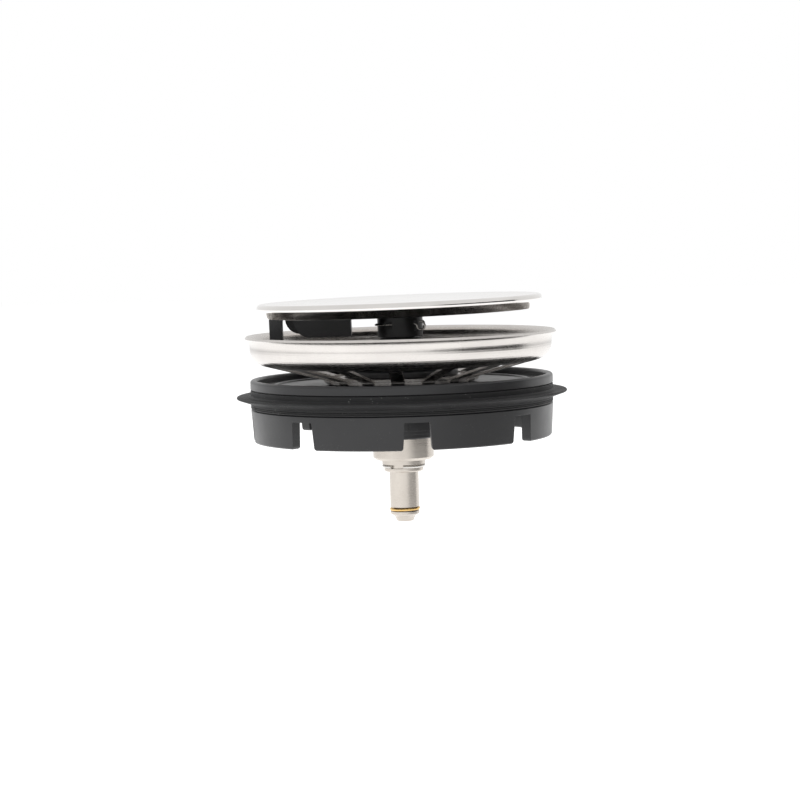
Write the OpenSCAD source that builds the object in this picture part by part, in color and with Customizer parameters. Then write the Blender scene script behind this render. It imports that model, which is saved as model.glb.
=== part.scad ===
// Strainer plug with cover for a kitchen sink outlet.
// A steel dish with spoke slots, a rubber lip seal and a castellated skirt are clamped on a hollow post.
// The post slides on a brass cartridge whose pin snaps into the cross-bar of the outlet.
// Pressing the cover moves the plug down and latches it, and the next press lets the spring lift it.
// Origin: on the pin axis, at the lower end face of the cartridge barrel. +Z is up.

/* [Lip seal] */
// Diameter over the sealing lip
lip_d = 90; // [87:0.5:94]
// Diameter of the seal body, clamp ring and skirt top
seal_d = 82.4; // [80:0.2:84]
// Height of the seal body
seal_h = 5.1; // [4.5:0.1:7]
// Width of the seal body from its bore to its rim
seal_w = 5.2; // [4:0.1:7]
// Thickness of the lip at its root
lip_root_t = 1.5; // [1:0.1:2]
// Thickness of the lip at its tip
lip_tip_t = 0.6; // [0.4:0.1:0.9]

/* [Clamp ring] */
// Height of the rim above the seal
clamp_rim_h = 2.7; // [2:0.1:3.5]
// Width of the raised rim
clamp_rim_w = 1.9; // [1.4:0.1:3]
// Thickness of the flange that lies on the seal
clamp_flange_t = 0.7; // [0.6:0.1:1.2]
// Thickness of the centre floor
clamp_floor_t = 2; // [1.2:0.1:3]
// Wall of the spigot inside the seal
spigot_wall = 2.4; // [1.6:0.1:3.5]

/* [Skirt ring] */
// Height of the skirt below the seal
skirt_h = 9; // [7:0.25:12]
// Wall of the skirt
skirt_wall = 2.8; // [2:0.1:3.5]
// How much the skirt's radius shrinks from top to bottom
skirt_taper = 0.55; // [0:0.05:1]
// Thickness of the web across the skirt's top
web_t = 1.6; // [1.2:0.1:1.6]
// Number of gaps in the skirt
gap_count = 8; // [4:1:12]
// Height of solid skirt above a gap
gap_top = 1.8; // [1.7:0.05:2.4]
// Width of a gap at its top
gap_w = 6.6; // [4:0.2:9]
// Extra width of a gap at its bottom
gap_draft = 0.8; // [0:0.1:1.5]
// Bearing of the first gap from +X
gap_turn = 5.2; // [0:0.1:44]
// Corner radius at the foot of each skirt segment
foot_r = 1; // [0.4:0.1:1.5]
// Thickness of the gussets under the web
gusset_t = 1.6; // [1:0.1:2.4]

/* [Strainer dish] */
// Outside diameter of the dish wall
dish_wall_d = 82.2; // [78:0.2:84]
// Thickness of the sheet
dish_t = 0.7; // [0.5:0.05:1]
// Outside radius of the corner between wall and cone
dish_corner_r = 4.5; // [3:0.1:6]
// Slope of the cone
cone_deg = 15; // [10:0.5:20]
// Diameter over the foot of the cone
cone_foot_d = 42.4; // [38:0.2:46]
// Height of the upright foot under the cone
cone_foot_h = 1; // [0.9:0.05:1.5]
// Height of the straight part of the wall
dish_wall_h = 0.5; // [0.2:0.1:4]
// Radius of the flared lip
flare_r = 3; // [2:0.1:5]
// Angle through which the lip flares
flare_deg = 55; // [30:1:70]
// Number of spokes between the slots
spoke_count = 16; // [12:1:20]
// Width of a spoke
spoke_w = 3.5; // [2.5:0.1:4.5]
// Bearing of the first spoke from +X
spoke_turn = 19.8; // [0:0.1:22]
// Thickness of the gasket under the dish
gasket_t = 0.5; // [0.4:0.1:1]
// Thickness of the washer in the dish
washer_t = 0.8; // [0.5:0.1:1.2]

/* [Cartridge] */
// Outside diameter of the barrel
barrel_d = 16.7; // [16:0.1:18]
// Wall of the barrel
barrel_wall = 1.55; // [1.2:0.05:2]
// Length of the barrel's neck
neck_h = 3.3; // [2.8:0.1:4.5]
// Diameter of the neck above the clip groove
neck_d = 11.9; // [11.4:0.1:13]
// Diameter of the end ring below the clip groove
end_ring_d = 10.8; // [10.4:0.1:11.6]
// Wire of the barrel clip
clip_wire_d = 0.96; // [0.8:0.02:1.1]
// Diameter of the pin
pin_d = 8; // [7:0.1:8.2]
// Free length of the pin from the barrel to the snap ring's groove
pin_free_l = 9.75; // [8:0.25:14]
// Wire of the snap ring
snap_wire_d = 0.9; // [0.7:0.05:1]
// Length of the nose below the groove
nose_l = 2.8; // [2:0.1:4]
// How far the plug travels when it is pressed right down
press_travel = 5.5; // [4:0.25:6]
// How far the plug springs back from there until the latch catches
latch_return = 1; // [0.6:0.1:1.4]
// Length of the spring with the plug raised
spring_l = 12.5; // [11:0.25:16]
// Wire of the spring
spring_wire_d = 0.9; // [0.7:0.05:1]
// Turns of the spring
spring_turns = 6; // [5:0.5:7]
// Diameter of the plunger rod
rod_d = 4.8; // [4:0.1:5.2]

/* [Centre post] */
// Wall of the post's tube
post_wall = 1.2; // [1:0.05:1.6]
// Diameter of the flange that clamps the dish
post_flange_d = 31; // [28:0.5:34]
// Thickness of that flange
post_flange_t = 2.1; // [1.6:0.1:3]
// Diameter of the stem that carries the cover
stem_d = 11.3; // [10.4:0.1:12.5]
// Height of the stem above the post's closed body
stem_h = 3.1; // [2:0.1:5]
// Diameter of the knob inside the cover's hub
knob_d = 8.2; // [7.6:0.1:8.6]
// Height of the knob
knob_h = 5.3; // [4.5:0.1:6]
// Diameter of the nut under the skirt ring
nut_d = 27; // [25:0.5:30]
// Height of the nut
nut_h = 3.9; // [3:0.1:5]

/* [Cover] */
// Diameter of the cover
cover_d = 77.6; // [72:0.2:80]
// Height of the cover's rim
cover_h = 3.9; // [3.4:0.1:5]
// Thickness of the cover's sheet
cover_t = 0.75; // [0.5:0.05:0.9]
// Radius of the cover's top edge
cover_edge_r = 1.1; // [1:0.05:1.4]
// How much the top is domed
cover_dome = 0.25; // [0:0.05:1]
// Lean of the cover towards its leg
cover_lean = 0.9; // [0:0.1:1.2]
// Diameter of the hub
hub_d = 12.4; // [12.2:0.1:13]
// Length of the hub below the cover's rim
hub_drop = 6.4; // [6:0.1:8]
// Wire of the cover clip
cover_wire_d = 0.56; // [0.5:0.02:0.7]
// Thickness of the carrier plate
plate_t = 1.5; // [1:0.1:2]
// Width of the leg
leg_w = 3.5; // [2.5:0.1:4.5]
// Distance from the axis to the leg's outer face
leg_reach = 35.5; // [33:0.1:35.8]

/* [Fits] */
// Radial clearance of the post on the barrel and of the rod in its guides
slide_fit = 0.06; // [0.02:0.01:0.1]
// Clearance of pieces that are only put together
loose_fit = 0.1; // [0.05:0.01:0.2]
// Gap where the cover rests on the post and the dish
rest_gap = 0.3; // [0.2:0.05:0.4]

/* [Hidden] */
$fn = 96;
eps = 0.01;

// Heights of the cartridge, from the barrel's end face upwards
bore_floor_z = neck_h + 1;
pin_head_h = 1.5;
spring_z = bore_floor_z + pin_head_h;
rotor_z = spring_z + spring_l;
rotor_h = 4;
lug_h = 2;
cap_z = rotor_z + rotor_h + loose_fit;
cap_h = 2;
barrel_top_z = cap_z + cap_h;
guide_h = rotor_h - lug_h + press_travel - latch_return + loose_fit;

// Heights of the plug
show_h = press_travel + 0.5;
post_foot_z = neck_h + show_h;
seal_foot_z = post_foot_z + skirt_h;
seal_top_z = seal_foot_z + seal_h;
lip_z = seal_foot_z + 3;
clamp_floor_z = seal_top_z + clamp_flange_t;
dish_z = clamp_floor_z + gasket_t;
flange_z = dish_z + dish_t + washer_t;
ceiling_z = barrel_top_z + press_travel + 0.5;
post_body_z = ceiling_z + 3;
stem_z = post_body_z + stem_h;
knob_top_z = stem_z + knob_h;
nut_boss_h = 1;
nut_top_z = seal_foot_z - web_t - nut_boss_h;
nut_collar_h = 1.1;

// Radii of the cartridge and post
barrel_r = barrel_d / 2;
bore_r = barrel_r - barrel_wall;
pin_r = pin_d / 2;
rod_r = rod_d / 2;
guide_r = bore_r - slide_fit;
guide_wall = 0.45;
lug_r = guide_r - guide_wall - loose_fit;
rotor_r = lug_r - 1;
spring_r = rotor_r - 0.2 - spring_wire_d / 2;
post_bore_r = barrel_r + slide_fit;
post_r = post_bore_r + post_wall;
centre_hole_r = post_r + loose_fit;

// Radii of the seal stack
seal_r = seal_d / 2;
seal_bore_r = seal_r - seal_w;
spigot_r = seal_bore_r - loose_fit;

// Form of the dish, measured from the underside of its floor
dish_r = dish_wall_d / 2;
cone_foot_r = cone_foot_d / 2;
foot_bend_r = dish_t + 0.2;
corner_x = dish_r - dish_corner_r;
cone_end_x = corner_x + dish_corner_r * sin(cone_deg);
cone_end_z = cone_foot_h + (cone_end_x - cone_foot_r) * tan(cone_deg);
corner_z = cone_end_z + dish_corner_r * cos(cone_deg);
flare_z = corner_z + dish_wall_h;
dish_lip_z = dish_z + flare_z + flare_r * sin(flare_deg);
slot_in_r = cone_foot_r - dish_t + 0.1;
slot_out_r = corner_x - 0.4;

// Heights and radii of the cover
hub_z = stem_z + rest_gap;
cover_z = hub_z + hub_drop;
cover_r = cover_d / 2;
cover_edge_x = cover_r - cover_edge_r;
cover_edge_z = cover_h - cover_edge_r;
plate_z = cover_z + cover_h - cover_t - plate_t;
cover_clip_z = hub_z + 3.4;
hub_bore_r = knob_d / 2 + 0.3;
clip_y = knob_d / 2 + 0.15 + cover_wire_d / 2;
clip_reach = 6.95;
clip_bow_x = clip_reach - clip_y - cover_wire_d / 2;
eye_r = 1.1;
eye_x = clip_reach - eye_r - cover_wire_d / 2;
bend_r = 0.5;
bend_x = eye_x - eye_r - bend_r;
hem_w = 2;
hem_bend_r = 0.6;
hem_x = cover_edge_x - cover_edge_z + hem_bend_r + (cover_edge_r - hem_bend_r) * sqrt(2);

// Points on an arc about [cx, cy]
function arc(cx, cy, r, a0, a1, n = 6) =
    [for (i = [0:n]) let (a = a0 + (a1 - a0) * i / n) [cx + r * cos(a), cy + r * sin(a)]];

// Height of the dish's inner face on the cone at radius r
function dish_inner_z(r) =
    dish_z + cone_foot_h + (r - cone_foot_r) * tan(cone_deg) + dish_t / cos(cone_deg);

// A ring with a flat section
module washer(r_in, r_out, h) {
    difference() {
        cylinder(r = r_out, h = h);
        translate([0, 0, -1]) cylinder(r = r_in, h = h + 2);
    }
}

// An open wire ring, its opening centred on bearing turn
module wire_ring(mean_r, wire_d, open_deg, turn) {
    rotate([0, 0, turn + open_deg / 2])
        rotate_extrude(angle = 360 - open_deg)
            translate([mean_r, 0]) circle(d = wire_d, $fn = 24);
}

// Cartridge

snap_groove_h = snap_wire_d + 0.3;
snap_groove_r = pin_r - snap_wire_d + 0.12;
nose_land = 0.7;

module centre_pin() {
    groove_z = -pin_free_l;
    nose_z = groove_z - snap_groove_h;
    relief_h = 0.8;
    color("lightgray")
    rotate_extrude()
        polygon(concat(
            [[0, spring_z], [bore_r - loose_fit, spring_z], [bore_r - loose_fit, bore_floor_z],
             [pin_r, bore_floor_z], [pin_r, 0.1 + relief_h], [pin_r - 0.4, 0.1 + relief_h],
             [pin_r - 0.4, 0.1], [pin_r, 0.1], [pin_r, groove_z], [snap_groove_r, groove_z],
             [snap_groove_r, nose_z], [pin_r, nose_z], [pin_r, nose_z - nose_land],
             [pin_r - 1.1, nose_z - nose_land - 0.8]],
            arc(pin_r - 2, nose_z - nose_l + 0.5, 0.5, 0, -90, 5),
            [[0, nose_z - nose_l]]));
}

module pin_snap_ring() {
    lean = 1.5;
    color("goldenrod")
    translate([0, 0, -pin_free_l - snap_groove_h / 2])
        rotate([0, -lean, 0])
            wire_ring(snap_groove_r + 0.05 + snap_wire_d / 2, snap_wire_d, 40, 150);
}

clip_groove_h = clip_wire_d + 0.08;
clip_groove_z = 1;

module barrel() {
    chamfer = 0.7;
    groove_r = neck_d / 2 - clip_wire_d - 0.04;
    hole_r = pin_r + slide_fit;
    color("silver")
    rotate_extrude()
        polygon([
            [hole_r, 0], [end_ring_d / 2 - 0.3, 0], [end_ring_d / 2, 0.3],
            [end_ring_d / 2, clip_groove_z], [groove_r, clip_groove_z],
            [groove_r, clip_groove_z + clip_groove_h], [neck_d / 2, clip_groove_z + clip_groove_h],
            [neck_d / 2, neck_h], [barrel_r - chamfer, neck_h], [barrel_r, neck_h + chamfer],
            [barrel_r, barrel_top_z - 0.4], [barrel_r - 0.4, barrel_top_z], [bore_r, barrel_top_z],
            [bore_r, bore_floor_z], [hole_r, bore_floor_z]
        ]);
}

module barrel_clip() {
    color("gainsboro")
    translate([0, 0, clip_groove_z + clip_groove_h / 2])
        wire_ring(neck_d / 2 - clip_wire_d / 2, clip_wire_d, 36, -110);
}

module barrel_cap() {
    color("dimgray")
    translate([0, 0, cap_z])
        washer(rod_r + slide_fit, bore_r - slide_fit, cap_h);
}

// A tooth that fills a bearing range between two radii and has one slanting end
module ratchet_tooth(r_in, r_out, w, z_low, z_high, z_slant) {
    intersection() {
        rotate([90, 0, 90])
            linear_extrude(r_out + 1)
                polygon([[-w / 2, z_low], [w / 2, z_low], [w / 2, z_slant], [-w / 2, z_high]]);
        translate([0, 0, min(z_low, z_high, z_slant) - 1])
            washer(r_in, r_out, abs(z_high - z_low) + 3);
    }
}

lug_count = 4;
lug_w = lug_r * 0.36;

module latch_guide() {
    slot_w = lug_w + 2 * loose_fit;
    color("ivory")
    translate([0, 0, cap_z - guide_h])
    difference() {
        washer(rotor_r + loose_fit, guide_r, guide_h);
        for (i = [0:lug_count - 1])
            rotate([0, 0, 360 / lug_count * i])
                intersection() {
                    translate([0, -slot_w / 2, -1]) cube([guide_r, slot_w, guide_h + 2]);
                    translate([0, 0, -1]) cylinder(r = lug_r + loose_fit, h = guide_h + 2);
                }
        for (i = [0:lug_count - 1])
            rotate([0, 0, 360 / lug_count * (i + 0.5)])
                rotate([90, 0, 90])
                    linear_extrude(lug_r + loose_fit)
                        polygon([[-slot_w / 2, -1], [slot_w / 2, -1], [slot_w / 2, 0], [-slot_w / 2, slot_w / 2]]);
    }
}

module latch_rotor() {
    color("orange")
    translate([0, 0, rotor_z]) {
        difference() {
            union() {
                cylinder(r = rotor_r, h = rotor_h);
                for (i = [0:lug_count - 1])
                    rotate([0, 0, 360 / lug_count * i])
                        ratchet_tooth(rotor_r - 1, lug_r, lug_w, 0, lug_h, lug_h - lug_w / 2);
            }
            translate([0, 0, -1]) cylinder(r = rod_r + slide_fit, h = rotor_h + 2);
        }
    }
}

// Height of the helix at the share u of its length: closed end turns, open coils between them
function coil_z(u, span) =
    let (closed = 1 / spring_turns, low = min(u, closed), high = max(u - 1 + closed, 0),
         open = min(max(u - closed, 0), 1 - 2 * closed))
    (low + high) * spring_turns * spring_wire_d + span * open / (1 - 2 * closed);

module return_spring() {
    steps = 16;
    sides = 8;
    count = ceil(spring_turns * steps);
    wire_r = spring_wire_d / 2;
    end_gap = 0.06;
    span = spring_l - 2 * (wire_r + end_gap + spring_wire_d);
    rings = [for (i = [0:count])
        let (u = i / count, turn = 360 * spring_turns * u, z = spring_z + wire_r + end_gap + coil_z(u, span))
        [for (j = [0:sides - 1])
            let (a = 360 * j / sides, r = spring_r + wire_r * cos(a))
            [r * cos(turn), r * sin(turn), z + wire_r * sin(a)]]];
    points = [for (ring = rings) each ring];
    sides_faces = [for (i = [0:count - 1], j = [0:sides - 1])
        [i * sides + j, (i + 1) * sides + j, (i + 1) * sides + (j + 1) % sides, i * sides + (j + 1) % sides]];
    start_face = [for (j = [0:sides - 1]) j];
    end_face = [for (j = [0:sides - 1]) count * sides + sides - 1 - j];
    color("slategray")
    polyhedron(points, concat([start_face, end_face], sides_faces), convexity = 10);
}

rod_clip_t = 0.6;
rod_clip_z = rotor_z - loose_fit - rod_clip_t;
rod_groove_r = rod_r - 0.6;

module plunger_rod() {
    end_z = rod_clip_z - 1.1;
    color("silver")
    rotate_extrude()
        polygon([
            [0, end_z], [rod_r - 0.4, end_z], [rod_r, end_z + 0.4], [rod_r, rod_clip_z - 0.05],
            [rod_groove_r, rod_clip_z - 0.05], [rod_groove_r, rod_clip_z + rod_clip_t + 0.05],
            [rod_r, rod_clip_z + rod_clip_t + 0.05], [rod_r, post_body_z - 0.8],
            [rod_r - 0.4, post_body_z - 0.4], [0, post_body_z - 0.4]
        ]);
}

module rotor_clip() {
    clip_r = spring_r - spring_wire_d / 2 - loose_fit;
    color("dimgray")
    translate([0, 0, rod_clip_z])
    difference() {
        washer(rod_groove_r + 0.05, clip_r, rod_clip_t);
        translate([0, -rod_groove_r * 0.8, -1]) cube([clip_r + 1, rod_groove_r * 1.6, rod_clip_t + 2]);
    }
}

// Plug

module centre_post() {
    body_r = post_r + 1;
    stem_r = stem_d / 2;
    stem_low_z = stem_z - stem_h + 1.4;
    color("#26262a")
    rotate_extrude()
        polygon(concat(
            [[post_bore_r, post_foot_z], [post_r - 0.3, post_foot_z], [post_r, post_foot_z + 0.3],
             [post_r, flange_z], [post_flange_d / 2 - 0.3, flange_z], [post_flange_d / 2, flange_z + 0.3]],
            arc(post_flange_d / 2 - 0.8, flange_z + post_flange_t - 0.8, 0.8, 0, 90, 4),
            [[body_r, flange_z + post_flange_t], [body_r, post_body_z - 1.2]],
            arc(body_r - 1.2, post_body_z - 1.2, 1.2, 0, 90, 5),
            [[stem_r, stem_low_z], [stem_r, stem_z]],
            [[knob_d / 2, stem_z], [knob_d / 2, knob_top_z - 1]],
            arc(knob_d / 2 - 1, knob_top_z - 1, 1, 0, 90, 5),
            [[0, knob_top_z], [0, post_body_z - 0.3], [rod_r + loose_fit, post_body_z - 0.3],
             [rod_r + loose_fit, ceiling_z], [post_bore_r, ceiling_z]]));
}

module post_washer() {
    color("silver")
    translate([0, 0, flange_z - washer_t])
        washer(centre_hole_r, post_flange_d / 2 + 1.4, washer_t);
}

module floor_gasket() {
    color("#1c1c1c")
    translate([0, 0, clamp_floor_z])
        washer(centre_hole_r, cone_foot_r - foot_bend_r - 1.5, gasket_t);
}

// Section of the pressed sheet, from the centre hole out to the lip and back
function dish_section() =
    let (inner_r = dish_corner_r - dish_t, end_a = 180 - flare_deg,
         inner_cone_x = corner_x + inner_r * sin(cone_deg),
         inner_cone_z = corner_z - inner_r * cos(cone_deg),
         foot_x = cone_foot_r - dish_t,
         bend_x = cone_foot_r - foot_bend_r)
    concat(
        [[centre_hole_r, 0]],
        arc(bend_x, foot_bend_r, foot_bend_r, -90, 0, 5),
        [[cone_foot_r, cone_foot_h]],
        arc(corner_x, corner_z, dish_corner_r, cone_deg - 90, 0, 10),
        arc(dish_r + flare_r, flare_z, flare_r, 180, end_a, 8),
        arc(dish_r + flare_r, flare_z, flare_r + dish_t, end_a, 180, 8),
        arc(corner_x, corner_z, inner_r, 0, cone_deg - 90, 10),
        [[foot_x, inner_cone_z - (inner_cone_x - foot_x) * tan(cone_deg)]],
        arc(bend_x, foot_bend_r, foot_bend_r - dish_t, 0, -90, 4),
        [[centre_hole_r, dish_t]]);

// Everything between two radii except the spokes
module slot_pattern() {
    difference() {
        circle(r = slot_out_r);
        circle(r = slot_in_r);
        for (i = [0:spoke_count - 1])
            rotate(spoke_turn + 360 / spoke_count * i)
                translate([slot_in_r - 1, -spoke_w / 2]) square([slot_out_r - slot_in_r + 2, spoke_w]);
    }
}

module strainer_dish() {
    color("lightgray")
    translate([0, 0, dish_z])
    difference() {
        rotate_extrude() polygon(dish_section());
        translate([0, 0, dish_t + eps]) linear_extrude(cone_end_z + 2) slot_pattern();
        translate([0, 0, -1])
            linear_extrude(dish_t + 1.5)
                difference() {
                    slot_pattern();
                    circle(r = slot_in_r + eps);
                }
    }
}

module clamp_ring() {
    floor_z = clamp_floor_z - seal_top_z;
    under_z = floor_z - clamp_floor_t;
    rim_x = seal_r - clamp_rim_w;
    bead_x = spigot_r - spigot_wall / 2;
    round_r = 0.7;
    color("#2b2b2e")
    translate([0, 0, seal_top_z])
    rotate_extrude()
        polygon(concat(
            [[centre_hole_r, under_z], [spigot_r - spigot_wall, under_z],
             [spigot_r - spigot_wall, -seal_h], [spigot_r, -seal_h], [spigot_r, 0],
             [seal_r - 0.25, 0], [seal_r, 0.25]],
            arc(seal_r - round_r, clamp_rim_h - round_r, round_r, 0, 90, 5),
            arc(rim_x + round_r, clamp_rim_h - round_r, round_r, 90, 180, 5),
            [[rim_x, floor_z], [bead_x + 0.8, floor_z], [bead_x + 0.5, floor_z + 0.4],
             [bead_x - 0.5, floor_z + 0.4], [bead_x - 0.8, floor_z], [centre_hole_r, floor_z]]));
}

module seal_ring() {
    lip_h = lip_z - seal_foot_z;
    ridge = 0.15;
    ridge_pitch = (lip_h - lip_root_t - 0.3) / 3;
    color("#202022")
    translate([0, 0, seal_foot_z])
    rotate_extrude()
        polygon(concat(
            [[seal_bore_r, 0], [seal_r - ridge, 0]],
            [for (i = [0:2], p = [[0, 0.35], [0.5, 0.85]])
                [seal_r - ridge + 2 * ridge * p[0], ridge_pitch * (i + p[1])]],
            [[seal_r, lip_h - lip_root_t]],
            arc(lip_d / 2 - lip_tip_t / 2, lip_h - lip_tip_t / 2 + 0.3, lip_tip_t / 2, -80, 80, 5),
            [[seal_r + 0.6, lip_h + 0.35], [seal_r, lip_h + 0.7], [seal_r, seal_h - 0.2],
             [seal_r - 0.2, seal_h], [seal_bore_r, seal_h]]));
}

// One gap, as an outline across the skirt's wall
module gap_cutter() {
    half_top = gap_w / 2;
    half_low = (gap_w + gap_draft) / 2;
    foot_z = -skirt_h + foot_r * 0.86;
    side = concat(
        [[half_top, -gap_top]],
        arc(half_low + foot_r, foot_z, foot_r, 180, 245, 4),
        [[half_low + foot_r * 0.8, -skirt_h - 1]]);
    other = [for (i = [len(side) - 1:-1:0]) [-side[i][0], side[i][1]]];
    rotate([90, 0, 90])
        translate([0, 0, seal_r - skirt_wall - skirt_taper - 3])
            linear_extrude(skirt_wall + skirt_taper + 5)
                polygon(concat(side, other));
}

module skirt_ring() {
    low_r = seal_r - skirt_taper;
    boss_r = nut_d / 2 + 1;
    gusset_r = low_r - skirt_wall;
    edge = 0.3;
    color("#242427")
    translate([0, 0, seal_foot_z]) {
        difference() {
            rotate_extrude()
                polygon([
                    [centre_hole_r, 0], [seal_r - 0.05 - edge, 0], [seal_r - 0.05, -edge],
                    [low_r, -skirt_h + edge], [low_r - edge, -skirt_h],
                    [gusset_r + edge, -skirt_h], [gusset_r, -skirt_h + edge],
                    [gusset_r + skirt_taper / 2, -web_t], [boss_r, -web_t],
                    [boss_r, -web_t - nut_boss_h], [centre_hole_r, -web_t - nut_boss_h]
                ]);
            for (i = [0:gap_count - 1])
                rotate([0, 0, gap_turn - 90 + 360 / gap_count * i]) gap_cutter();
        }
        for (i = [0:gap_count - 1])
            rotate([0, 0, gap_turn - 90 + 360 / gap_count * (i + 0.5)])
                rotate([90, 0, 0])
                    translate([0, 0, -gusset_t / 2])
                        linear_extrude(gusset_t)
                            polygon([
                                [boss_r - 0.5, -web_t + 0.2], [gusset_r + 0.2, -web_t + 0.2],
                                [gusset_r + 0.2, -web_t - 0.8], [boss_r - 0.5, -web_t - 2.6]
                            ]);
    }
}

module hub_nut() {
    notch_count = 6;
    notch_w = 3.2;
    notch_depth = 1.6;
    color("#2a2a2d")
    translate([0, 0, nut_top_z - nut_h])
    difference() {
        union() {
            cylinder(r = nut_d / 2, h = nut_h);
            translate([0, 0, -nut_collar_h]) cylinder(r = post_r + 1.6, h = nut_collar_h + 1);
        }
        translate([0, 0, -nut_collar_h - 1]) cylinder(r = centre_hole_r, h = nut_h + nut_collar_h + 2);
        for (i = [0:notch_count - 1])
            rotate([0, 0, 360 / notch_count * (i + 0.5)])
                translate([nut_d / 2 - notch_depth, -notch_w / 2, -1]) cube([notch_depth + 1, notch_w, nut_h + 2]);
    }
}

// Cover

// Leans the cover about the middle of its clip
module on_cover() {
    translate([0, 0, cover_clip_z])
        rotate([0, -cover_lean, 0])
            translate([0, 0, -cover_clip_z])
                children();
}

function cover_section() =
    let (inner_r = cover_edge_r - cover_t,
         inner_x = cover_edge_x + inner_r * cos(45),
         inner_z = cover_edge_z - inner_r * sin(45),
         dome_x = cover_edge_x * 0.5)
    concat(
        [[0, cover_h + cover_dome], [dome_x, cover_h + cover_dome * 0.75]],
        arc(cover_edge_x, cover_edge_z, cover_edge_r, 90, -45, 10),
        arc(hem_x, hem_bend_r, hem_bend_r, -45, -90, 4),
        [[hem_x - hem_w, 0], [hem_x - hem_w, cover_t]],
        [[inner_x - inner_z + cover_t, cover_t]],
        arc(cover_edge_x, cover_edge_z, inner_r, -45, 90, 6),
        [[dome_x, cover_h - cover_t + cover_dome * 0.75], [0, cover_h - cover_t + cover_dome]]);

module cover_plate() {
    notch_fit = 0.3;
    color("silver")
    on_cover()
        translate([0, 0, cover_z])
            difference() {
                rotate_extrude() polygon(cover_section());
                // Notch in the hem that keeps the leg from turning
                translate([-leg_reach - notch_fit, -leg_depth / 2 - notch_fit, -1])
                    cube([hem_w + 1, leg_depth + 2 * notch_fit, 1 + cover_t + 0.1]);
            }
}

block_x = -28.5;
block_end_x = -13.2;
block_z = hub_z + 1.1;
block_corner_r = 4.2;
block_wall = 1.8;
rear_web_x = -31.6;
leg_depth = 5;

// An upright wall seen from the front, with its lower outer corner rounded
module web_outline(x0, x1, z0, z1, r) {
    polygon(concat([[x1, z1], [x0, z1]], arc(x0 + r, z0 + r, r, 180, 270, 6), [[x1, z0]]));
}

// Turns an outline in X and Z into a slab between y0 and y1
module slab(y0, y1) {
    translate([0, y1, 0])
        rotate([90, 0, 0])
            linear_extrude(y1 - y0)
                children();
}

module carrier_block() {
    top = plate_z + 0.5;
    difference() {
        slab(-9, 4) web_outline(block_x, block_end_x, block_z, top, block_corner_r);
        slab(-9 + block_wall, 4 - block_wall)
            web_outline(block_x + block_wall, block_end_x - block_wall, block_z - 1, plate_z - 0.4, block_corner_r);
    }
    slab(7, 9.4) web_outline(rear_web_x, block_end_x - 2, block_z + 0.4, top, block_corner_r);
}

module carrier_leg() {
    leg_x = -leg_reach;
    corner_reach = sqrt(leg_reach * leg_reach + leg_depth * leg_depth / 4);
    foot_z = dish_inner_z(corner_reach) + rest_gap + corner_reach * sin(cover_lean);
    arch_r = 3;
    slab(-leg_depth / 2, leg_depth / 2)
        polygon(concat(
            [[leg_x + 0.6, foot_z], [leg_x, foot_z + 0.6], [leg_x, plate_z + 0.5],
             [leg_x + leg_w + arch_r, plate_z + 0.5]],
            arc(leg_x + leg_w + arch_r, plate_z - arch_r, arch_r, 90, 180, 6),
            [[leg_x + leg_w, foot_z + 0.6], [leg_x + leg_w - 0.6, foot_z]]));
}

// Space for the clip's wire through the wall of the hub, with a window at its front and back
module clip_slot() {
    slot_h = cover_wire_d + 0.3;
    half = slot_h / 2;
    window_x = -4.6;
    window_w = 2.4;
    window_h = 1.6;
    for (side = [-1, 1]) {
        translate([-clip_bow_x, side * clip_y - half, cover_clip_z - half])
            cube([hub_d, slot_h, slot_h]);
        translate([bend_x - 0.2, side > 0 ? clip_y - half : -clip_y + half - hub_d, 0])
            translate([0, 0, cover_clip_z - bend_r - eye_r - half])
                cube([hub_d, hub_d, 2 * eye_r + slot_h]);
        translate([window_x, side > 0 ? clip_y : -clip_y - hub_d, cover_clip_z - window_h / 2])
            cube([window_w, hub_d, window_h]);
    }
    translate([-clip_bow_x, 0, cover_clip_z - half])
        rotate([0, 0, 90])
            rotate_extrude(angle = 180)
                translate([clip_y - half, 0]) square([slot_h, slot_h]);
}

module cover_carrier() {
    plate_r = hem_x - 0.3;
    rib_count = 12;
    rib_low_z = cover_z + cover_t + 0.4;
    ring_r = plate_r * 0.6;
    color("#28282b")
    on_cover()
    difference() {
        union() {
            translate([0, 0, plate_z]) cylinder(r = plate_r, h = plate_t);
            translate([0, 0, cover_z + cover_t + loose_fit])
                washer(plate_r - 1.6, plate_r, plate_z - cover_z - cover_t);
            translate([0, 0, rib_low_z]) washer(ring_r, ring_r + 1.2, plate_z - rib_low_z + 0.2);
            for (i = [0:rib_count - 1])
                rotate([0, 0, 360 / rib_count * (i + 0.5)])
                    translate([hub_d / 2 - 1, -0.6, rib_low_z])
                        cube([plate_r - hub_d / 2, 1.2, plate_z - rib_low_z + 0.2]);
            translate([0, 0, hub_z]) cylinder(r = hub_d / 2, h = plate_z - hub_z + 0.2);
            carrier_block();
            carrier_leg();
        }
        translate([0, 0, hub_z - 1]) cylinder(r = hub_bore_r, h = knob_top_z - hub_z + 1.6);
        clip_slot();
    }
}

// A quarter or more of a wire ring standing in the XZ plane, from bearing a over the given sweep
module upright_bend(x, z, r, a, sweep) {
    translate([x, 0, z])
        rotate([90, 0, 0])
            rotate([0, 0, a])
                rotate_extrude(angle = sweep) translate([r, 0]) circle(d = cover_wire_d, $fn = 24);
}

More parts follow.
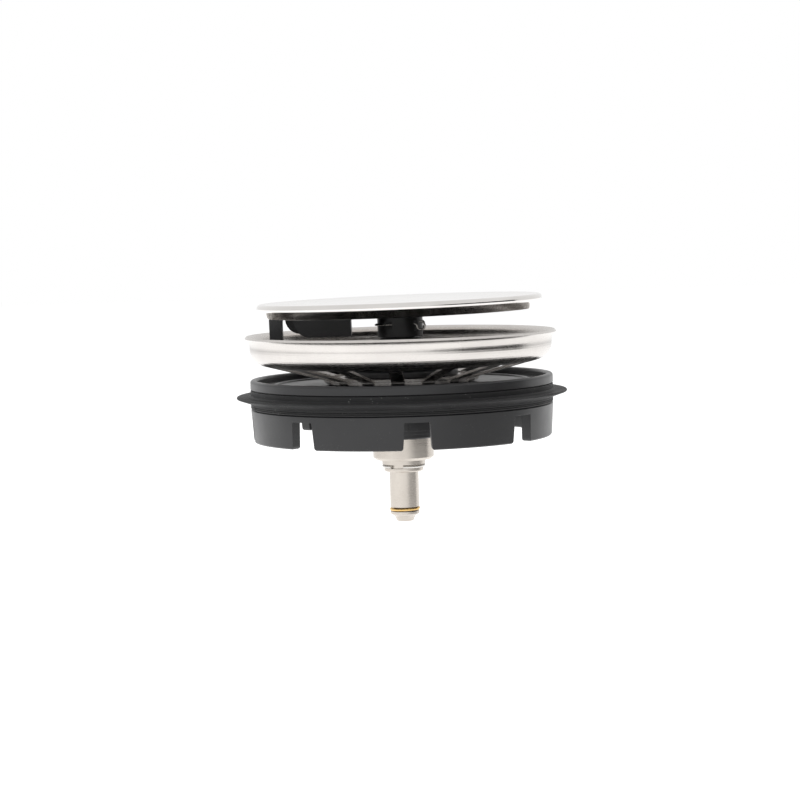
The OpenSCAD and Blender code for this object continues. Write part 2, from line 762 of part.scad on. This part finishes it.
module cover_clip() {
    // Each leg turns down and then winds round into its eye
    color("gainsboro")
    on_cover()
        translate([0, 0, cover_clip_z]) {
            translate([-clip_bow_x, 0, 0])
                rotate([0, 0, 90])
                    rotate_extrude(angle = 180) translate([clip_y, 0]) circle(d = cover_wire_d, $fn = 24);
            for (side = [-1, 1])
                translate([0, side * clip_y, 0]) {
                    translate([-clip_bow_x, 0, 0])
                        rotate([0, 90, 0]) cylinder(d = cover_wire_d, h = clip_bow_x + bend_x, $fn = 24);
                    upright_bend(bend_x, -bend_r, bend_r, 0, 90);
                    upright_bend(eye_x, -bend_r, eye_r, 180, 300);
                }
        }
}

centre_pin();
pin_snap_ring();
barrel();
barrel_clip();
latch_guide();
barrel_cap();
return_spring();
latch_rotor();
plunger_rod();
rotor_clip();
centre_post();
post_washer();
floor_gasket();
strainer_dish();
clamp_ring();
seal_ring();
skirt_ring();
hub_nut();
cover_plate();
cover_carrier();
cover_clip();
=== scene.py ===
import bpy
import math
from mathutils import Matrix, Vector

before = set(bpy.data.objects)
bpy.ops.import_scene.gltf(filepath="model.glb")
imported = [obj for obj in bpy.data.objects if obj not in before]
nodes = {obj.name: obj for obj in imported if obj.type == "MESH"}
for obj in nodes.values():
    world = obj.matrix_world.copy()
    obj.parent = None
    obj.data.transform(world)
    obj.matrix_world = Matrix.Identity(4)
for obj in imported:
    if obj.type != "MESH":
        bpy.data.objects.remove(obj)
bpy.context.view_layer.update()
MM = 0.001

# Finish and studio values
METAL_EDGE_RADIUS = 0.12 * MM
AIM = (0, 0, 25 * MM)
CAMERA_PLACE = (-0.5675 * MM, -605.067 * MM, 64.812 * MM)
CAMERA_TILT_DEG = 4.293
CAMERA_ROLL_DEG = 1.5607
LENS_MM = 100.0
SENSOR_MM = 36.0
WORLD_FILL = 0.45
FLOOR_Z = -120 * MM
FLOOR_GLOW = 0.6
LAMP_POWER = 22
CARD_RADIUS = 0.9
CARD_TONE = 0.03


# Node helpers

class Tree:
    """Adds nodes to a material or a group and links them by name."""

    def __init__(self, tree):
        self.tree = tree

    def node(self, kind, inputs=None, **settings):
        made = self.tree.nodes.new(kind)
        for key, value in settings.items():
            setattr(made, key, value)
        for key, value in (inputs or {}).items():
            if isinstance(value, bpy.types.NodeSocket):
                self.tree.links.new(value, made.inputs[key])
            else:
                made.inputs[key].default_value = value
        return made

    def math(self, operation, a, b=0.0):
        made = self.node("ShaderNodeMath", {0: a, 1: b}, operation=operation)
        return made.outputs[0]

    def map_range(self, value, low, high, to_low=0.0, to_high=1.0, smooth=False):
        ends = {"From Min": low, "From Max": high, "To Min": to_low, "To Max": to_high}
        made = self.node("ShaderNodeMapRange", {"Value": value, **ends})
        made.interpolation_type = "SMOOTHSTEP" if smooth else "LINEAR"
        return made.outputs["Result"]

    def mix_colour(self, factor, a, b):
        made = self.node("ShaderNodeMix", data_type="RGBA")
        for index, value in ((0, factor), (6, a), (7, b)):
            if isinstance(value, bpy.types.NodeSocket):
                self.tree.links.new(value, made.inputs[index])
            else:
                made.inputs[index].default_value = value
        return made.outputs[2]

    def noise(self, vector, scale, detail=2.0, roughness=0.5):
        made = self.node("ShaderNodeTexNoise", {"Vector": vector, "Scale": scale, "Detail": detail,
                                                "Roughness": roughness})
        return made.outputs["Fac"]


def new_group(name, inputs, outputs):
    """A shader node group with float inputs (name, default) and outputs (name, socket type)."""
    group = bpy.data.node_groups.new(name, "ShaderNodeTree")
    for label, default in inputs:
        socket = group.interface.new_socket(name=label, in_out="INPUT", socket_type="NodeSocketFloat")
        socket.default_value = default
    for label, kind in outputs:
        group.interface.new_socket(name=label, in_out="OUTPUT", socket_type=kind)
    tree = Tree(group)
    entry = tree.node("NodeGroupInput")
    leave = tree.node("NodeGroupOutput")
    return group, tree, entry, leave


def make_turned_grain():
    """Fine lines that run round the pin's axis, as polishing and turning leave them."""
    group, t, entry, leave = new_group(
        "turned_grain", [("Lines per mm", 6.0), ("Waviness", 0.3)],
        [("Height", "NodeSocketFloat"), ("Smudge", "NodeSocketFloat")])
    where = t.node("ShaderNodeTexCoord").outputs["Object"]
    xyz = t.node("ShaderNodeSeparateXYZ", {0: where})
    radius = t.math("SQRT", t.math("ADD", t.math("MULTIPLY", xyz.outputs[0], xyz.outputs[0]),
                                   t.math("MULTIPLY", xyz.outputs[1], xyz.outputs[1])))
    bearing = t.math("ARCTAN2", xyz.outputs[1], xyz.outputs[0])
    across = t.math("MULTIPLY", entry.outputs["Waviness"], t.math("SINE", bearing))
    along = t.math("MULTIPLY", entry.outputs["Waviness"], t.math("COSINE", bearing))
    per_metre = t.math("MULTIPLY", entry.outputs["Lines per mm"], 1000.0)
    outward = t.math("MULTIPLY", radius, per_metre)
    upward = t.math("ADD", t.math("MULTIPLY", xyz.outputs[2], per_metre), across)
    place = t.node("ShaderNodeCombineXYZ", {0: outward, 1: upward, 2: along})
    lines = t.noise(place.outputs[0], 1.0, 3.0, 0.7)
    smudge = t.noise(where, 90.0, 3.0, 0.55)
    t.tree.links.new(lines, leave.inputs["Height"])
    t.tree.links.new(smudge, leave.inputs["Smudge"])
    return group


def make_edge_round():
    """A slightly rounded normal on moulded edges, and a mask that is 1 along them."""
    group, t, entry, leave = new_group(
        "edge_round", [("Radius", 0.0002)],
        [("Normal", "NodeSocketVector"), ("Edge", "NodeSocketFloat")])
    bevel = t.node("ShaderNodeBevel", {"Radius": entry.outputs["Radius"]}, samples=6)
    flat = t.node("ShaderNodeNewGeometry").outputs["Normal"]
    match = t.node("ShaderNodeVectorMath", {0: bevel.outputs[0], 1: flat}, operation="DOT_PRODUCT")
    edge = t.map_range(match.outputs["Value"], 0.995, 0.85, smooth=True)
    t.tree.links.new(bevel.outputs[0], leave.inputs["Normal"])
    t.tree.links.new(edge, leave.inputs["Edge"])
    return group


def make_moulded_skin():
    """The faint orange peel, handling marks and dust of a moulded black piece."""
    group, t, entry, leave = new_group(
        "moulded_skin", [("Peel scale", 2600.0), ("Dust", 0.4)],
        [("Height", "NodeSocketFloat"), ("Smudge", "NodeSocketFloat"), ("Dust", "NodeSocketFloat")])
    where = t.node("ShaderNodeTexCoord").outputs["Object"]
    peel = t.node("ShaderNodeTexNoise", {"Vector": where, "Scale": entry.outputs["Peel scale"],
                                         "Detail": 2.0}).outputs["Fac"]
    smudge = t.noise(where, 70.0, 4.0, 0.6)
    specks = t.node("ShaderNodeTexVoronoi", {"Vector": where, "Scale": 1500.0}).outputs["Distance"]
    patches = t.noise(where, 260.0, 3.0, 0.7)
    speck = t.map_range(specks, 0.22, 0.1)
    patch = t.map_range(patches, 0.52, 0.68)
    dust = t.math("MULTIPLY", t.math("MULTIPLY", speck, patch), entry.outputs["Dust"])
    t.tree.links.new(peel, leave.inputs["Height"])
    t.tree.links.new(smudge, leave.inputs["Smudge"])
    t.tree.links.new(dust, leave.inputs["Dust"])
    return group


turned_grain = make_turned_grain()
edge_round = make_edge_round()
moulded_skin = make_moulded_skin()


def material(name):
    """An empty node material: the material, its tree and its Principled shader."""
    made = bpy.data.materials.new(name)
    made.use_nodes = True
    made.node_tree.nodes.clear()
    t = Tree(made.node_tree)
    shader = t.node("ShaderNodeBsdfPrincipled")
    t.node("ShaderNodeOutputMaterial", {"Surface": shader.outputs[0]})
    return made, t, shader


def place_group(t, group, **values):
    made = t.node("ShaderNodeGroup", node_tree=group)
    for label, value in values.items():
        made.inputs[label.replace("_", " ")].default_value = value
    return made


def turned_metal(name, pale, dark, rough_low, rough_high, lines, depth, anisotropic=0.0):
    """A metal with grain round the axis: satin pressings, turned and plated pieces, wire."""
    made, t, shader = material(name)
    grain = place_group(t, turned_grain, Lines_per_mm=lines, Waviness=0.4)
    tint = t.map_range(grain.outputs["Smudge"], 0.3, 0.7)
    colour = t.mix_colour(tint, (*dark, 1), (*pale, 1))
    wear = t.math("MULTIPLY", t.math("ADD", grain.outputs["Height"], grain.outputs["Smudge"]), 0.5)
    rough = t.map_range(wear, 0.3, 0.7, rough_low, rough_high)
    rounded = place_group(t, edge_round, Radius=METAL_EDGE_RADIUS)
    bump = t.node("ShaderNodeBump", {"Height": grain.outputs["Height"], "Distance": depth,
                                     "Strength": 1.0, "Normal": rounded.outputs["Normal"]})
    t.tree.links.new(colour, shader.inputs["Base Color"])
    t.tree.links.new(rough, shader.inputs["Roughness"])
    t.tree.links.new(bump.outputs[0], shader.inputs["Normal"])
    shader.inputs["Metallic"].default_value = 1.0
    shader.inputs["Anisotropic"].default_value = anisotropic
    return made


def black_piece(name, colour, dusty, rough_low, rough_high, peel, depth, edge_radius, dust,
                specular=0.5):
    """A black moulded or rubber piece with softened edges, handling marks and dust."""
    made, t, shader = material(name)
    skin = place_group(t, moulded_skin, Peel_scale=peel, Dust=dust)
    rounded = place_group(t, edge_round, Radius=edge_radius)
    worn = t.math("MULTIPLY", rounded.outputs["Edge"], t.map_range(skin.outputs["Smudge"], 0.4, 0.65))
    base = t.mix_colour(t.math("MULTIPLY", worn, 0.35), (*colour, 1), (*dusty, 1))
    shade = t.mix_colour(skin.outputs["Dust"], base, (*[min(1.0, 6 * c) for c in dusty], 1))
    rough = t.map_range(skin.outputs["Smudge"], 0.3, 0.7, rough_low, rough_high)
    bump = t.node("ShaderNodeBump", {"Height": skin.outputs["Height"], "Distance": depth,
                                     "Strength": 1.0, "Normal": rounded.outputs["Normal"]})
    t.tree.links.new(shade, shader.inputs["Base Color"])
    t.tree.links.new(rough, shader.inputs["Roughness"])
    t.tree.links.new(bump.outputs[0], shader.inputs["Normal"])
    shader.inputs["Specular IOR Level"].default_value = specular
    return made


satin_steel = turned_metal(
    "satin_steel", pale=(0.6, 0.575, 0.55), dark=(0.53, 0.505, 0.485),
    rough_low=0.2, rough_high=0.32, lines=9.0, depth=0.0012 * MM, anisotropic=0.3)
bright_cover = turned_metal(
    "bright_cover", pale=(0.7, 0.68, 0.66), dark=(0.64, 0.62, 0.6),
    rough_low=0.1, rough_high=0.18, lines=12.0, depth=0.0006 * MM, anisotropic=0.2)
nickel_plate = turned_metal(
    "nickel_plate", pale=(0.56, 0.52, 0.47), dark=(0.46, 0.42, 0.38),
    rough_low=0.22, rough_high=0.34, lines=7.0, depth=0.0015 * MM)
brass_wire = turned_metal(
    "brass_wire", pale=(0.78, 0.55, 0.24), dark=(0.6, 0.38, 0.13),
    rough_low=0.18, rough_high=0.3, lines=14.0, depth=0.001 * MM)
spring_wire = turned_metal(
    "spring_wire", pale=(0.58, 0.56, 0.53), dark=(0.45, 0.43, 0.41),
    rough_low=0.2, rough_high=0.32, lines=14.0, depth=0.001 * MM)
black_moulding = black_piece(
    "black_moulding", colour=(0.008, 0.008, 0.009), dusty=(0.03, 0.03, 0.033),
    rough_low=0.3, rough_high=0.42, peel=2600.0, depth=0.004 * MM, edge_radius=0.2 * MM, dust=0.25)
seal_rubber = black_piece(
    "seal_rubber", colour=(0.012, 0.012, 0.0125), dusty=(0.06, 0.06, 0.058),
    rough_low=0.55, rough_high=0.75, peel=5200.0, depth=0.012 * MM, edge_radius=0.15 * MM,
    dust=0.8, specular=0.35)
white_acetal = black_piece(
    "white_acetal", colour=(0.72, 0.71, 0.67), dusty=(0.6, 0.59, 0.56),
    rough_low=0.4, rough_high=0.5, peel=2600.0, depth=0.003 * MM, edge_radius=0.15 * MM, dust=0.0)

FINISHES = {
    "centre_pin": nickel_plate, "pin_snap_ring": brass_wire,
    "barrel": nickel_plate, "barrel_clip": spring_wire,
    "latch_guide": white_acetal, "barrel_cap": white_acetal, "return_spring": spring_wire,
    "latch_rotor": white_acetal, "plunger_rod": spring_wire, "rotor_clip": spring_wire,
    "centre_post": black_moulding, "post_washer": satin_steel, "floor_gasket": seal_rubber,
    "strainer_dish": satin_steel, "clamp_ring": black_moulding, "seal_ring": seal_rubber,
    "skirt_ring": black_moulding, "hub_nut": black_moulding, "cover_plate": bright_cover,
    "cover_carrier": black_moulding, "cover_clip": spring_wire,
}
for name, finish in FINISHES.items():
    mesh = nodes[name].data
    mesh.materials.clear()
    mesh.materials.append(finish)


# Studio

def area_lamp(name, place, aim, width, height, power):
    lamp = bpy.data.lights.new(name, "AREA")
    lamp.shape = "RECTANGLE"
    lamp.size = width
    lamp.size_y = height
    lamp.energy = power
    holder = bpy.data.objects.new(name, lamp)
    bpy.context.scene.collection.objects.link(holder)
    holder.location = place
    holder.rotation_euler = (Vector(aim) - Vector(place)).to_track_quat("-Z", "Y").to_euler()
    holder.visible_glossy = False
    return holder


def white_world():
    world = bpy.data.worlds.new("studio")
    bpy.context.scene.world = world
    world.use_nodes = True
    world.node_tree.nodes.clear()
    t = Tree(world.node_tree)
    path = t.node("ShaderNodeLightPath")
    seen = t.math("MINIMUM", 1.0, t.math("ADD", t.math("ADD", path.outputs["Is Camera Ray"],
                                                       path.outputs["Is Glossy Ray"]),
                                         path.outputs["Is Transmission Ray"]))
    strength = t.map_range(seen, 0.0, 1.0, WORLD_FILL, 1.0)
    backdrop = t.node("ShaderNodeBackground", {"Color": (1, 1, 1, 1), "Strength": strength})
    t.node("ShaderNodeOutputWorld", {"Surface": backdrop.outputs[0]})


def pale_floor(height):
    """A white floor well below the plug, which is held up by its pin."""
    mesh = bpy.data.meshes.new("floor")
    half = 6.0
    corners = [(-half, -half, height), (half, -half, height), (half, half, height), (-half, half, height)]
    mesh.from_pydata(corners, [], [(0, 1, 2, 3)])
    floor = bpy.data.objects.new("floor", mesh)
    bpy.context.scene.collection.objects.link(floor)
    made, t, shader = material("floor_white")
    path = t.node("ShaderNodeLightPath")
    ray = t.math("ADD", path.outputs["Is Camera Ray"], path.outputs["Is Glossy Ray"])
    seen = t.math("MINIMUM", 1.0, ray)
    mottling = t.noise(t.node("ShaderNodeTexCoord").outputs["Object"], 3.0)
    tone = t.mix_colour(mottling, (0.9, 0.9, 0.9, 1), (0.93, 0.93, 0.93, 1))
    t.tree.links.new(tone, shader.inputs["Base Color"])
    shader.inputs["Roughness"].default_value = 0.9
    shader.inputs["Specular IOR Level"].default_value = 0.0
    shader.inputs["Emission Color"].default_value = (1, 1, 1, 1)
    glow = t.map_range(seen, 0.0, 1.0, 0.0, FLOOR_GLOW)
    t.tree.links.new(glow, shader.inputs["Emission Strength"])
    mesh.materials.append(made)


def curved_card(name, radius, from_deg, to_deg, high_start, high_end, low_start, low_end, tone):
    """A dark card standing round the set, which only shows as a reflection in the steel.
    Bearings run from the camera's side (-Y) towards +X."""
    mesh = bpy.data.meshes.new(name)
    steps = 24
    points = []
    for i in range(steps + 1):
        share = i / steps
        bearing = math.radians(from_deg + (to_deg - from_deg) * share)
        x, y = radius * math.sin(bearing), -radius * math.cos(bearing)
        rise = min(1.0, share * 1.6)
        points.append((x, y, low_start + (low_end - low_start) * rise))
        points.append((x, y, high_start + (high_end - high_start) * rise))
    faces = [(2 * i, 2 * i + 2, 2 * i + 3, 2 * i + 1) for i in range(steps)]
    mesh.from_pydata(points, [], faces)
    card = bpy.data.objects.new(name, mesh)
    bpy.context.scene.collection.objects.link(card)
    made, t, shader = material(name + "_cloth")
    weave = t.noise(t.node("ShaderNodeTexCoord").outputs["Object"], 400.0)
    cloth = t.mix_colour(weave, (tone * 0.8,) * 3 + (1,), (tone,) * 3 + (1,))
    t.tree.links.new(cloth, shader.inputs["Base Color"])
    shader.inputs["Roughness"].default_value = 0.95
    shader.inputs["Specular IOR Level"].default_value = 0.0
    mesh.materials.append(made)
    card.visible_camera = False
    card.visible_diffuse = False
    card.visible_shadow = False


def photo_camera():
    """The photograph's view: 4.3 degrees above level, 0.61 m away, rolled 1.6 degrees."""
    lens = bpy.data.cameras.new("camera")
    lens.lens = LENS_MM
    lens.sensor_width = SENSOR_MM
    lens.clip_start = 0.01
    lens.clip_end = 50.0
    camera = bpy.data.objects.new("camera", lens)
    bpy.context.scene.collection.objects.link(camera)
    look = Matrix.Rotation(math.radians(90 - CAMERA_TILT_DEG), 4, "X")
    roll = Matrix.Rotation(math.radians(-CAMERA_ROLL_DEG), 4, "Z")
    camera.matrix_world = Matrix.Translation(CAMERA_PLACE) @ look @ roll
    bpy.context.scene.camera = camera


photo_camera()
white_world()
pale_floor(FLOOR_Z)
area_lamp("key_lamp", (-1.2, -1.3, 1.1), AIM, 1.6, 1.6, LAMP_POWER)
area_lamp("top_lamp", (0.1, 0.4, 1.8), AIM, 2.0, 2.0, LAMP_POWER)
curved_card("dark_card_right", CARD_RADIUS, from_deg=18, to_deg=105, high_start=0.02, high_end=0.30,
            low_start=-0.02, low_end=-0.22, tone=CARD_TONE)

bpy.context.scene.view_settings.view_transform = "Standard"
